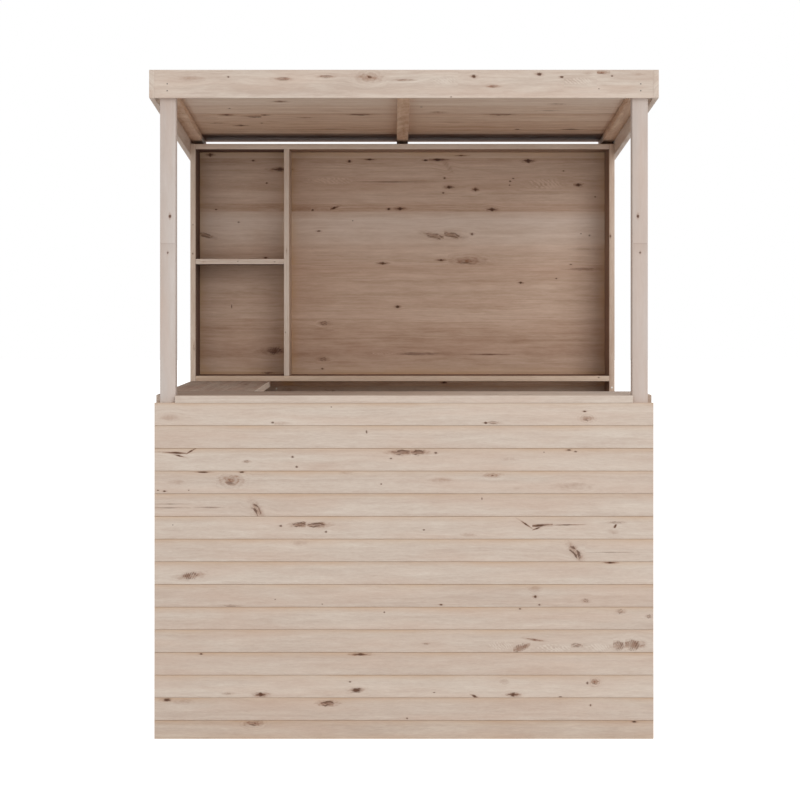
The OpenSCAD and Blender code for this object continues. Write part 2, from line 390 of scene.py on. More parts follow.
def saw(piece, axis, place, waste=None):
    """Cuts a piece across one axis. Waste above or below the cut is taken off and the end closed."""
    with edit(piece):
        bpy.ops.mesh.bisect(plane_co=along_axis(axis, place), plane_no=along_axis(axis, 1),
                            use_fill=waste is not None, clear_outer=waste == "above",
                            clear_inner=waste == "below")


def push(piece, wanted, offset):
    """Moves the points that are wanted."""
    with edit(piece):
        pick(piece, "VERT", wanted)
        bpy.ops.transform.translate(value=offset)


def ease(piece, radius, wanted=None, steps=2):
    """Rounds a piece's arrises, all of them or those whose middle is wanted."""
    with edit(piece):
        if wanted:
            pick(piece, "EDGE", wanted)
        bpy.ops.mesh.bevel(offset=radius, segments=steps, affect="EDGES", clamp_overlap=True)


def copy_of(piece, name, offset):
    """A copy with its own mesh, moved by an offset."""
    take_up(piece)
    bpy.ops.object.duplicate(linked=False)
    made = bpy.context.object
    made.name = made.data.name = name
    made.location = offset
    bpy.ops.object.transform_apply(location=True, rotation=False, scale=False)
    return made


def join(name, pieces):
    """Joins pieces into one."""
    take_up(pieces[0])
    for piece in pieces:
        piece.select_set(True)
    bpy.ops.object.join()
    made = bpy.context.object
    made.name = made.data.name = name
    return made


# ---------------------------------------------------------------- figure of the wood

# How much of its normal a face has along an axis, to lie square to it or to face that way at all.
SQUARE, FACING = 0.95, 0.7
# How much deeper a sawn end is in colour.
END_DEPTH = 0.25
# Where there is no knot or joint: its place in half lengths, and its distance in metres.
FAR_OFF, NO_JOINT = 90, 1.0
# How far inside a piece's box the middle of a face is taken to be.
INSIDE = 0.001 * MM


def scattered_knots(draw, low, high, spacing):
    """Knots drawn by chance for a board that has no list, one for each length of spacing."""
    kinds = ["spot", "pin", "pin", "eye", "rose", "crack", "smear", "faint", "faint"]
    found = []
    for _ in range(round((high[0] - low[0]) / spacing)):
        kind = draw.choice(kinds)
        # Half length in millimetres, less on a narrow board.
        reach = draw.uniform(3, 5) if kind == "pin" else draw.uniform(7, 24)
        reach = min(reach * MM, 0.4 * (high[1] - low[1]))
        place = [draw.uniform(low[i] + reach, high[i] - reach) for i in (0, 1)]
        found.append((kind, *place, reach, reach * draw.uniform(0.4, 0.7), 0))
    return found


def part_off(piece, run, rise, low, high, knots):
    """Saws a stretch of faces between its knots until each part holds one, and lists the parts.

    Each cut goes through the widest gap for its knots' size, along or across the fibres.
    """
    if len(knots) < 2:
        return [(low, high, knots[0] if knots else None)]
    gaps = []
    for way in (0, 1):
        order = sorted(knots, key=lambda knot: knot[1 + way])
        for near, far in zip(order, order[1:]):
            apart = far[1 + way] - near[1 + way]
            reaches = near[3 + way] + far[3 + way]
            place = near[1 + way] + apart * near[3 + way] / reaches
            gaps.append((apart / reaches, way, place))
    _, way, place = max(gaps)
    axis = (run, rise)[way]
    with edit(piece):
        pick(piece, "FACE", lambda p: low[0] <= p[run] <= high[0] and low[1] <= p[rise] <= high[1])
        bpy.ops.mesh.bisect(plane_co=along_axis(axis, place), plane_no=along_axis(axis, 1))
    first_high, second_low = list(high), list(low)
    first_high[way] = second_low[way] = place
    first = [knot for knot in knots if knot[1 + way] < place]
    second = [knot for knot in knots if knot[1 + way] >= place]
    return (part_off(piece, run, rise, low, first_high, first)
            + part_off(piece, run, rise, second_low, high, second))


def knot_place(knot, run_place, rise_place):
    """Where a point lies from a knot's middle, in its half lengths along and across its own line."""
    _, along, up, reach, height, turn = knot
    angle = math.radians(turn)
    dx, dz = run_place - along, rise_place - up
    return ((dx * math.cos(angle) + dz * math.sin(angle)) / reach,
            (dz * math.cos(angle) - dx * math.sin(angle)) / height)


def in_metres(knots):
    """Knots with their numbers in metres, and a turn in degrees that is 0 where none is given."""
    return [(k[0], *[n * MM for n in k[1:5]], k[5] if len(k) > 5 else 0) for k in knots]


def shade_at(shades, face, place):
    """Depth of colour at a corner of a face, from the stretches of shades that its middle is in."""
    total = 0.0
    for run, axis, way, table in shades:
        if face.normal[axis] * way < SQUARE:
            continue
        for (near, first), (far, last) in zip(table, table[1:]):
            if near * MM <= face.center[run] < far * MM:
                total += first + (last - first) * (place[run] / MM - near) / (far - near)
    return total


def part_staves(piece, run, rise, low, high, draw, knots, seams, spacing):
    """Saws a piece into staves and into parts that hold one knot, and lists the parts: their corners,
    knot, shift along the trunk, pith and tone. The staves' wood and any scattered knots are drawn."""
    thin = 3 - run - rise
    edges = [low[rise]] + [s for s in sorted(seams) if low[rise] < s < high[rise]] + [high[rise]]
    for seam in edges[1:-1]:
        saw(piece, rise, seam)
    parts = []
    for foot, head in zip(edges, edges[1:]):
        stave_low, stave_high = (low[run], foot), (high[run], head)
        if knots is None:
            held = scattered_knots(draw, stave_low, stave_high, spacing)
        else:
            held = [knot for knot in in_metres(knots) if foot <= knot[2] < head]
        shift = draw.uniform(0, 60)
        pith = ((foot + head) / 2 + draw.uniform(-30, 30) * MM,
                low[thin] - draw.choice((-1, 1)) * draw.uniform(35, 90) * MM)
        tone = draw.uniform(-1, 1)
        for part in part_off(piece, run, rise, stave_low, stave_high, held):
            parts.append((*part, shift, pith, tone))
    return parts


def figure(piece, run, rise, seed, knots=None, seams=(), spacing=0.45, abuts=(),
           abuts_way=0, edge_knots=(), depths=(), shades=()):
    """Writes the wood's figure on a piece: its grain, knots and staves, as attributes of its corners.

    run is the axis along the fibres and rise the axis across the wide face. Knots are in
    millimetres as the lists above give them, or None to scatter some, one in each length of
    spacing. Seams part it into staves. abuts are (axis, place) of the boards that meet this one,
    where the wood takes a painted warm shade, and abuts_way is which of its wide faces they meet,
    or 0 if that shade goes round both. Edge knots lie on the edge that faces the front. Depths give
    (axis, way, amount) for faces that are deeper or paler in colour than the rest, mostly painted
    shade and painted light. Shades give (axis, face axis, way, table) where it changes along a face,
    the table as those above.
    """
    thin = 3 - run - rise
    points = [v.co for v in piece.data.vertices]
    low = [min(p[axis] for p in points) for axis in (X, Y, Z)]
    high = [max(p[axis] for p in points) for axis in (X, Y, Z)]
    parts = part_staves(piece, run, rise, low, high, random.Random(seed), knots, seams, spacing)
    for axis, _, _, table in shades:
        for place in sorted({place * MM for place, _ in table}):
            if low[axis] < place < high[axis]:
                saw(piece, axis, place)
    on_edge = sorted(in_metres(edge_knots), key=lambda knot: knot[1])
    for near, far in zip(on_edge, on_edge[1:]):
        saw(piece, run, (near[1] + far[1]) / 2)
    mesh = piece.data
    values = {"grain": [], "knot": [], "knot_look": [], "board": []}
    for face in mesh.polygons:
        along, across = (min(max(face.center[axis], low[axis] + INSIDE), high[axis] - INSIDE)
                         for axis in (run, rise))
        _, _, knot, shift, pith, tone = next(
            p for p in parts if p[0][0] <= along <= p[1][0] and p[0][1] <= across <= p[1][1])
        up = rise
        if on_edge and face.normal[Y] < -SQUARE:
            up = thin
            knot = min(on_edge, key=lambda each: abs(each[1] - along))
        end = END_DEPTH if abs(face.normal[run]) > FACING else 0.0
        depth = end + sum(amount for axis, way, amount in depths if face.normal[axis] * way > FACING)
        edge = abs(face.normal[thin]) < SQUARE
        for corner in face.loop_indices:
            p = mesh.vertices[mesh.loops[corner].vertex_index].co
            values["grain"] += (p[run] + shift, p[rise] - pith[0], p[thin] - pith[1])
            if knot:
                values["knot"] += (*knot_place(knot, p[run], p[up]), knot[4])
                values["knot_look"] += KNOT_KINDS[knot[0]]
            else:
                values["knot"] += (FAR_OFF, FAR_OFF, 0)
                values["knot_look"] += (0, 0, 0)
            joint_at = NO_JOINT
            # No painted joint shade on the wide face that is turned away from the boards that meet this
            # one.
            if abuts and face.normal[thin] * abuts_way > -0.5:
                joint_at = 0.0 if edge else min(abs(p[axis] - place) for axis, place in abuts)
            values["board"] += (0.0 if shades else tone, joint_at, depth + shade_at(shades, face, p))
    for name, numbers in values.items():
        mesh.attributes.new(name, "FLOAT_VECTOR", "CORNER").data.foreach_set("vector", numbers)
    return piece


def hand_in(piece, material, slot, *nodes):
    """Finishes a piece: its material, the body it rides on and the nodes it stands for."""
    piece.data.materials.clear()
    piece.data.materials.append(material)
    take_up(piece)
    # Rounded arrises shade smoothly, and corners stay crisp.
    bpy.ops.object.shade_smooth_by_angle(angle=math.radians(35))
    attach(piece, BODY)
    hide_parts(*nodes)


# ---------------------------------------------------------------- materials

def add(tree, kind, inputs=(), operation=None, **options):
    """Adds one node with its options, and sets or links its sockets, by order or by name."""
    node = tree.nodes.new("ShaderNode" + kind)
    if operation:
        node.operation = operation
    for option, value in options.items():
        setattr(node, option, value)
    if not isinstance(inputs, dict):
        inputs = dict(zip([s.identifier for s in node.inputs if s.enabled], inputs))
    for socket in node.inputs:
        value = inputs.get(socket.identifier, inputs.get(socket.name) if socket.enabled else None)
        if isinstance(value, bpy.types.Node):
            value = next(s for s in value.outputs if s.enabled)
        if isinstance(value, bpy.types.NodeSocket):
            tree.links.new(value, socket)
        elif value is not None:
            socket.default_value = value
    return node


def blank(holder):
    """Empties a new material's or world's node tree, and gives the function that adds nodes to it."""
    holder.use_nodes = True
    holder.node_tree.nodes.clear()
    return partial(add, holder.node_tree)


def knot_marks(put, along, u, v, look):
    """The nodes that draw knots: how near the nearest one is, reddish wood, pale strokes and black.

    u and v are the place from its middle, in its half lengths. Each result goes from 0 to about 1.
    """
    core, halo, pattern = put("SeparateXYZ", [look]).outputs
    spot = put("CombineXYZ", [u, v, 0.0])
    reach = put("VectorMath", [spot], "LENGTH")
    near = put("Math", [reach, 2.0], "POWER")
    near = put("Math", [near, -0.2], "MULTIPLY")
    near = put("Math", [near], "EXPONENT")

    # A knot's outline is ragged, and no two are alike.
    seed = put("Math", [along, 3.0], "MULTIPLY")
    unique = put("CombineXYZ", [u, v, seed])
    ragged = put("VectorMath", [unique, (1.6, 1.9, 1.0)], "MULTIPLY")
    ragged = put("TexNoise", {"Vector": ragged, "Scale": 1.0, "Detail": 3.0, "Roughness": 0.6})
    ragged = put("Math", [ragged, -0.5], "ADD")
    outline = put("Math", [ragged, 1.3, reach], "MULTIPLY_ADD")

    # The heart is round. Where the halo is full or the heart faint it also runs out along the
    # fibres in two points. The halo is longer still, and the crescent of soot sits off the middle.
    full = put("MapRange", [halo, 0.75, 1.0, 0.0, 1.0])
    faint = put("MapRange", [core, 0.7, 0.5, 0.0, 1.0])
    drawn_out = put("Math", [full, faint], "MAXIMUM")
    shortened = put("MapRange", [drawn_out, 0.0, 1.0, 0.95, 1.7])
    shortened = put("Math", [u, shortened], "MULTIPLY")
    lengthened = put("Math", [u, 0.65], "MULTIPLY")
    pointed = put("Math", [u], "ABSOLUTE")
    pointed = put("Math", [pointed, 1.5, 1.0], "MULTIPLY_ADD")
    pointed = put("Math", [v, pointed], "MULTIPLY")
    distances = []
    for middle, raggedness in ((put("CombineXYZ", [shortened, v, 0.0]), 0.9),
                               (put("CombineXYZ", [lengthened, pointed, 0.0]), 1.2),
                               (put("VectorMath", [spot, (0.4, 0.75, 0.0)], "MULTIPLY"), 1.1),
                               (put("VectorMath", [spot, (0.15, 0.45, 0.0)], "ADD"), 1.2)):
        distance = put("VectorMath", [middle], "LENGTH")
        distances.append(put("Math", [ragged, raggedness, distance], "MULTIPLY_ADD"))
    heart_at, points_at, halo_at, soot_at = distances

    # Rings and a dark crescent below the middle, for patterns above 0, in the reddish halo.
    ringed = put("Math", [pattern, 0.0], "MAXIMUM")
    rings = put("Math", [outline, 8.0], "MULTIPLY")
    rings = put("Math", [rings], "SINE")
    rings = put("MapRange", [rings, -0.2, 1.0, 0.0, ringed])
    rings = put("Math", [rings, near], "MULTIPLY")
    red = put("MapRange", [halo_at, 1.1, 0.1, 0.0, halo], **SMOOTH)
    red = put("Math", [rings, 0.5, red], "MULTIPLY_ADD")
    crescent = put("Math", [outline, soot_at], "SUBTRACT")
    sooty = put("MapRange", [pattern, 0.5, 0.8, 0.0, 0.8])
    crescent = put("MapRange", [crescent, 0.1, 0.42, 0.0, sooty], **SMOOTH)
    inside = put("MapRange", [outline, 1.15, 0.75, 0.0, 1.0], **SMOOTH)
    crescent = put("Math", [crescent, inside], "MULTIPLY")
    crescent = put("Math", [crescent, 0.8], "MULTIPLY")

    # Wavy dark strokes that run along the knot and break off, for patterns below 0.
    broken = put("MapRange", [pattern, 0.0, -1.0, 0.0, 1.0])
    waviness = put("MapRange", [pattern, -2.0, -1.0, 0.0, 1.7])
    stroke_at = put("Math", [u, u], "MULTIPLY")
    stroke_at = put("Math", [stroke_at, 0.45, v], "MULTIPLY_ADD")
    bend = put("VectorMath", [unique, (1.2, 0.4, 1.0)], "MULTIPLY")
    bend = put("TexNoise", {"Vector": bend, "Scale": 1.0, "Detail": 1.0})
    stroke_at = put("Math", [bend, waviness, stroke_at], "MULTIPLY_ADD")
    stroke_at = put("Math", [stroke_at, 0.5], "ADD")
    # Slanting strokes rise to the right, and pale ones fall and are more bent.
    slanted = put("MapRange", [pattern, -2.0, -3.0, 0.0, 1.0])
    pale = put("Math", [core, -1.0], "MULTIPLY", use_clamp=True)
    for shift, if_pale, always in ((u, 7.0, -3.2), (ragged, 0.8, 1.0)):
        amount = put("Math", [pale, if_pale, always], "MULTIPLY_ADD")
        amount = put("Math", [amount, slanted], "MULTIPLY")
        stroke_at = put("Math", [shift, amount, stroke_at], "MULTIPLY_ADD")
    stroke_at = put("Math", [stroke_at, 0.5], "PINGPONG")
    width = put("VectorMath", [unique, (0.9, 1.1, 1.7)], "MULTIPLY")
    width = put("TexNoise", {"Vector": width, "Scale": 1.0, "Detail": 1.0})
    width = put("MapRange", [width, 0.3, 0.66, 0.0, 0.42])
    width = put("Math", [pale, 0.03, width], "MULTIPLY_ADD")
    strokes = put("Math", [width, stroke_at], "SUBTRACT")
    strokes = put("MapRange", [strokes, -0.1, 0.12, 0.0, broken], **SMOOTH)
    inside = put("MapRange", [outline, 1.25, 0.8, 0.0, 1.0], **SMOOTH)
    strokes = put("Math", [strokes, inside], "MULTIPLY")
    pale_strokes = put("Math", [pale, 0.7], "MULTIPLY")
    pale_strokes = put("Math", [pale_strokes, strokes], "MULTIPLY")

    # The heart is smaller among rings. The darkest of heart, points, strokes and crescent shows.
    shrunk = put("Math", [ringed, 5.0, 1.0], "MULTIPLY_ADD")
    heart_at = put("Math", [heart_at, shrunk], "MULTIPLY")
    heart = put("MapRange", [heart_at, 1.15, 0.45, 0.0, core], **SMOOTH)
    points = put("MapRange", [points_at, 1.15, 0.45, 0.0, core], **SMOOTH)
    points = put("Math", [points, drawn_out], "MULTIPLY")
    points = put("Math", [points, 0.8], "MULTIPLY")
    heart = put("Math", [heart, points], "MAXIMUM")
    black_strokes = put("MapRange", [slanted, 0.0, 1.0, 0.85, 0.6])
    black_strokes = put("Math", [strokes, black_strokes], "MULTIPLY")
    black = put("Math", [heart, black_strokes], "MAXIMUM")
    black = put("Math", [pale, -2.0, black], "MULTIPLY_ADD")
    black = put("Math", [black, crescent], "MAXIMUM")
    black = put("Math", [black, 0.92], "MULTIPLY", use_clamp=True)
    return near, red, pale_strokes, black


def spruce(name, light, dark, bands, fibre, joint_shade, joint_shade_reach):
    """Planed spruce: pale early wood with darker late-wood lines, and dark knots in reddish wood.

    Planing leaves it matt and nearly smooth, with fibres that only show close to. bands and fibre
    are the contrast of its broad and fine figure, and the last two arguments are how yellow it is at
    a joint and how far that reaches, a painted warm shade.
    """
    colours = bpy.context.scene.garden_bar_colours
    material = bpy.data.materials.new(name)
    put = blank(material)
    grain, knot, knot_look, board = [
        put("Attribute", attribute_name=part).outputs["Vector"]
        for part in ("grain", "knot", "knot_look", "board")]
    along, across, through = put("SeparateXYZ", [grain]).outputs
    u, v, height = put("SeparateXYZ", [knot]).outputs
    tone, joint_at, depth = put("SeparateXYZ", [board]).outputs
    near_knot, red, pale_strokes, black = knot_marks(put, along, u, v, knot_look)

    # The fibres wander by 7 mm over about 200 mm and by 2 mm over 40 mm, and swerve round a knot.
    wave = put("VectorMath", [grain, (5.0, 14.0, 14.0)], "MULTIPLY")
    wave = put("TexNoise", {"Vector": wave, "Scale": 1.0, "Detail": 1.0})
    ripple = put("VectorMath", [grain, (26.0, 60.0, 60.0)], "MULTIPLY")
    ripple = put("TexNoise", {"Vector": ripple, "Scale": 1.0})
    swerve = put("Math", [v, height], "MULTIPLY")
    swerve = put("Math", [swerve, near_knot], "MULTIPLY")
    lane = put("Math", [wave, 0.014, across], "MULTIPLY_ADD")
    lane = put("Math", [ripple, 0.004, lane], "MULTIPLY_ADD")
    lane = put("Math", [swerve, -0.9, lane], "MULTIPLY_ADD")
    place = put("CombineXYZ", [along, lane, through])

    # Late-wood lines follow the distance from the pith: 5 mm apart, as real 2 mm rings would not show.
    radius = put("CombineXYZ", [0.0, lane, through])
    radius = put("VectorMath", [radius], "LENGTH")
    rings = put("CombineXYZ", [along, radius, 0.0])
    rings = put("VectorMath", [rings, (3.5, 200.0, 1.0)], "MULTIPLY")
    rings = put("TexNoise", {"Vector": rings, "Scale": 1.0, "Detail": 3.0, "Roughness": 0.6})
    # Bands 36 mm wide, mottling 20 by 100 mm, fibres 3 by 45 mm and flecks 2 by 16 mm, each with
    # its weight. Fibres and flecks are drawn wider than real ones so that they show.
    total = 0.7 * bands + 0.4 * fibre
    mixed = put("Math", [rings, total], "MULTIPLY")
    for size, weight in (((0.9, 28.0, 10.0), 0.8 * bands), ((10.0, 50.0, 20.0), 0.6 * bands),
                         ((22.0, 320.0, 320.0), 0.75 * fibre), ((60.0, 480.0, 480.0), 0.85 * fibre)):
        flecks = put("VectorMath", [place, size], "MULTIPLY")
        flecks = put("TexNoise", {"Vector": flecks, "Scale": 1.0, "Detail": 2.0, "Roughness": 0.6})
        mixed = put("Math", [flecks, weight, mixed], "MULTIPLY_ADD")
        total += weight
    # The average wood lies half-way between its two colours, and each board has a tone of its own.
    mixed = put("Math", [mixed, 0.5 - 0.5 * total], "ADD")
    mixed = put("Math", [tone, 0.16, mixed], "MULTIPLY_ADD")
    wood = put("Mix", [mixed, (*light, 1), (*dark, 1)], data_type="RGBA")

    # Some wood is pinker than the rest, in patches 50 by 400 mm.
    blush = put("VectorMath", [place, (2.5, 20.0, 20.0)], "MULTIPLY")
    blush = put("TexNoise", {"Vector": blush, "Scale": 1.0, "Detail": 2.0})
    blush = put("MapRange", [blush, 0.4, 0.7, 0.0, 0.3])
    # Painted warm shade: the yellow along a joint fades out, stronger here and weaker there.
    patchy = put("MapRange", [wave, 0.35, 0.65, 0.6 * joint_shade, 1.2 * joint_shade])
    joint = put("MapRange", [joint_at, 0.0, joint_shade_reach, 1.0, 0.0])
    joint = put("Math", [joint, 2.0], "POWER")
    joint = put("Math", [joint, patchy], "MULTIPLY")
    # The red round a knot is broken up by the flecks.
    through_flecks = put("MapRange", [flecks, 0.3, 0.7, 0.5, 1.0])
    red = put("Math", [red, through_flecks], "MULTIPLY", use_clamp=True)
    for amount, tint in ((blush, colours.blush), (joint, colours.joint_warm_shade), (red, colours.knot_halo),
                         (pale_strokes, light), (black, colours.knot_core)):
        wood = put("Mix", [amount, wood, (*tint, 1)], data_type="RGBA")

    # Sawn ends are deeper in colour, as end grain is. Inner and covered faces are deeper by painted
    # shade, and front edges paler by painted light.
    gamma = put("Math", [depth, 1.0], "ADD")
    wood = put("Gamma", [wood, gamma])
    greyer = put("MapRange", [depth, 0.0, 2.0, 1.0, 0.56])
    wood = put("HueSaturation", {"Color": wood, "Saturation": greyer})

    # The fibres stand up by a few tenths of a millimetre, and a knot is sunk.
    surface = put("Math", [rings, 0.6], "MULTIPLY")
    surface = put("Math", [flecks, 0.4, surface], "MULTIPLY_ADD")
    surface = put("Math", [black, -0.5, surface], "MULTIPLY_ADD")
    bump = put("Bump", {"Strength": 0.35, "Distance": 0.4 * MM, "Height": surface})
    matt = put("MapRange", [mixed, 0.0, 1.0, 0.62, 0.74])
    # Faces deep in painted shade lose their sheen too.
    gloss = put("MapRange", [depth, 0.3, 1.2, 0.35, 0.0])
    shader = put("BsdfPrincipled", {"Base Color": wood, "Roughness": matt, "Normal": bump, "IOR": 1.5,
                                    "Specular IOR Level": gloss})
    put("OutputMaterial", [shader])
    return material


def zinc(name, base, roughness, metallic):
    """Zinc-plated steel: a metal that its plating dulls, so that it has no sharp highlight."""
    material = bpy.data.materials.new(name)
    put = blank(material)
    place = put("TexCoord").outputs["Object"]
    # Crystals of the plating, about 1 mm across.
    spangle = put("TexNoise", {"Vector": place, "Scale": 900.0, "Detail": 2.0})
    tint = put("Mix", [spangle, (*[0.8 * c for c in base], 1), (*base, 1)], data_type="RGBA")
    dull = put("MapRange", [spangle, 0.3, 0.7, roughness - 0.08, roughness + 0.08])
    shader = put("BsdfPrincipled", {"Base Color": tint, "Roughness": dull, "Metallic": metallic})
    put("OutputMaterial", [shader])
    return material


def zinc_with_painted_glint():
    """Zinc plating of the screws. Its near-white colour is a painted reflection of a pale room."""
    return zinc("zinc_plating_painted_glint", bpy.context.scene.garden_bar_colours.screw, 0.35, 0.1)


def dull_zinc():
    """Hot-dipped zinc of the nails, weathered grey."""
    return zinc("weathered_zinc_coating", bpy.context.scene.garden_bar_colours.nail, 0.55, 1.0)


def timber(kind):
    """The named timber finish, made the first time that it is asked for."""
    colours = bpy.context.scene.garden_bar_colours
    sizes = bpy.context.scene.garden_bar_sizes
    cladding = (colours.cladding_light, colours.cladding_dark)
    roof = (colours.roof_light, colours.roof_dark)
    frame_wood = (colours.frame_light, colours.frame_dark)
    shelf = (colours.shelf_light, colours.shelf_dark)
    panel = (colours.panel_light, colours.panel_dark)
    # Contrast of bands and of fibres, strength of the painted warm shade at a joint and how far it
    # goes.
    finishes = {
        "planed_spruce_cladding": (*cladding, 1.0, 1.0, 0.55, 26 * MM),
        "planed_spruce_fascia": (*cladding, 1.7, 0.9, 0.0, 1.0),
        "planed_spruce_roofing": (*roof, 1.4, 0.7, 0.0, 1.0),
        "planed_spruce_frame": (*frame_wood, 1.1, 0.6, 0.0, 1.0),
        "planed_spruce_shelving": (*shelf, 1.4, 0.8, 0.25, 18 * MM),
        "planed_spruce_panel": (*panel, 1.35, 0.6, 0.85, sizes.panel_joint_shade),
    }
    return bpy.data.materials.get(kind) or spruce(kind, *finishes[kind])


# ---------------------------------------------------------------- the pieces

def shiplap_board(name, low, high, out):
    """One shiplap board between two corners. Its tongue stands up behind the board above, and its
    lip hangs in front of the tongue below. out is the axis that it faces along and which way."""
    sizes = bpy.context.scene.garden_bar_sizes
    axis, way = out
    face, back = (high[axis], low[axis]) if way > 0 else (low[axis], high[axis])
    ledge, lip_top = high[Z] - sizes.reveal, low[Z] + sizes.lap
    board = block(name, low, (high[X], high[Y], high[Z] + sizes.lap))
    for place in (ledge - sizes.shoulder, ledge, lip_top):
        saw(board, Z, place)
    push(board, lambda p: abs(p[axis] - face) < HAIR and p[Z] > ledge - HAIR,
         along_axis(axis, -way * sizes.rebate))
    hollow = abs(face - back) - sizes.rebate + sizes.clearance
    push(board, lambda p: abs(p[axis] - back) < HAIR and p[Z] < lip_top - HAIR,
         along_axis(axis, way * hollow))
    ease(board, sizes.board_arris, lambda p: abs(p[axis] - face) < HAIR and p[Z] < low[Z] + HAIR)
    return board


def shiplap_wall(node, out, seed, knots=None, depths=()):
    """A wall of shiplap boards, hung from its top edge down. The last one is ripped to fit, and is
    deeper in colour and yellower at its foot, both painted shade."""
    cover = bpy.context.scene.garden_bar_sizes.cover
    low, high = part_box(node)
    run = Y if out[0] == X else X
    pattern = shiplap_board("pattern_board", (low[X], low[Y], high[Z] - cover), high, out)
    boards = []
    for course in range(math.ceil((high[Z] - low[Z]) / cover)):
        board = copy_of(pattern, f"{node}_board", (0, 0, -course * cover))
        head = high[Z] - course * cover
        joints, shaded_depths = [(Z, head)], depths
        if course == 0:
            saw(board, Z, high[Z], waste="above")
        if head - cover < low[Z]:
            saw(board, Z, low[Z], waste="below")
            saw(board, Z, low[Z] + FOOT_CUT)
            joints, shaded_depths = [*joints, (Z, low[Z] - FOOT_DROP)], [*depths, (*out, FOOT_DEPTH)]
        held = None if knots is None else knots[course]
        figure(board, run, Z, f"{seed}-{course}", held, abuts=joints, depths=shaded_depths)
        boards.append(board)
    bpy.data.objects.remove(pattern)
    wall = join(f"{node}_boards", boards)
    hand_in(wall, timber("planed_spruce_cladding"), "cladding", node)


def plain_board(node, run, rise, arris, **looks):
    """A square-edged board that fills its node's box."""
    low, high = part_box(node)
    board = block(f"{node}_timber", low, high)
    ease(board, arris)
    return figure(board, run, rise, node, **looks)


def roof_fall():
    """How far the roof drops for each metre towards the back."""
    low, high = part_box("side_fascia_left")
    front_low, front_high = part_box("front_fascia")
    return ((high[Z] - low[Z]) - (front_high[Z] - front_low[Z])) / (high[Y] - low[Y])


def sloped_board(node, thickness, run, rise, arris, seat=None, **looks):
    """A board that falls to the back with the roof, its ends plumb. seat is the height of the board
    that its rear end lies on, if it is cut level there."""
    low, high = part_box(node)
    board = block(f"{node}_timber", (low[X], low[Y], high[Z] - thickness), high)
    middle = (low[Y] + high[Y]) / 2
    push(board, lambda p: p[Y] > middle, (0, 0, -roof_fall() * (high[Y] - low[Y])))
    if seat is not None:
        saw(board, Z, seat, waste="below")
    ease(board, arris)
    return figure(board, run, rise, node, **looks)


def outline_board(name, low, high, offcuts):
    """A flat board whose corners are sawn out. Offcuts are given as (low x, low y, high x, high y)."""
    bpy.ops.object.select_all(action="DESELECT")
    bpy.ops.mesh.primitive_plane_add(size=1, calc_uvs=False,
                                     location=((low[X] + high[X]) / 2, (low[Y] + high[Y]) / 2, low[Z]))
    board = bpy.context.object
    board.name = board.data.name = name
    board.scale = (high[X] - low[X], high[Y] - low[Y], 1)
    bpy.ops.object.transform_apply(location=True, rotation=False, scale=True)
    for axis in (X, Y):
        places = {round(cut[axis + i], 6) for cut in offcuts for i in (0, 2)}
        for place in sorted(p for p in places if low[axis] < p < high[axis]):
            saw(board, axis, place)
    with edit(board):
        pick(board, "FACE", lambda p: any(
            cut[0] < p[X] < cut[2] and cut[1] < p[Y] < cut[3] for cut in offcuts))
        bpy.ops.mesh.delete(type="FACE")
        bpy.ops.mesh.select_all(action="SELECT")
        bpy.ops.mesh.extrude_region_move(TRANSFORM_OT_translate={"value": (0, 0, high[Z] - low[Z])})
        bpy.ops.mesh.select_all(action="SELECT")
        bpy.ops.mesh.dissolve_limited(angle_limit=math.radians(1))
        bpy.ops.mesh.normals_make_consistent(inside=False)
    return board


def fixing_heads(name, diameter, places):
    """Round heads that stand a little off the wood, all facing the front, with eased rims."""
    proud = bpy.context.scene.garden_bar_sizes.head_proud
    bpy.ops.object.select_all(action="DESELECT")
    bpy.ops.mesh.primitive_cylinder_add(vertices=24, radius=diameter / 2, depth=2 * proud,
                                        calc_uvs=False, rotation=(math.pi / 2, 0, 0))
    pattern = bpy.context.object
    bpy.ops.object.transform_apply(location=True, rotation=True, scale=True)
    ease(pattern, proud / 2, lambda p: p[Y] < -0.99 * proud)
    with edit(pattern):
        pick(pattern, "FACE", lambda p: p[Y] < -0.99 * proud)
        bpy.ops.mesh.inset(thickness=diameter / 5, depth=-proud / 2)
    heads = [copy_of(pattern, name, place) for place in places]
    bpy.data.objects.remove(pattern)
    return join(name, heads)


class GARDENBAR_OT_cladding(bpy.types.Operator):
    """Hang the shiplap boards of the four walls"""
    bl_idname = "garden_bar.cladding"
    bl_label = "Cladding"

    def execute(self, context):
        shiplap_wall("front_cladding", (Y, -1), "front", FRONT_WALL_KNOTS)
        shiplap_wall("left_cladding", (X, -1), "left")
        shiplap_wall("right_cladding", (X, 1), "right")
        # The rear wall's inner face is deeper in colour: painted shade.
        shiplap_wall("rear_cladding", (Y, 1), "rear", depths=[(Y, -1, 0.6)])
        return {"FINISHED"}


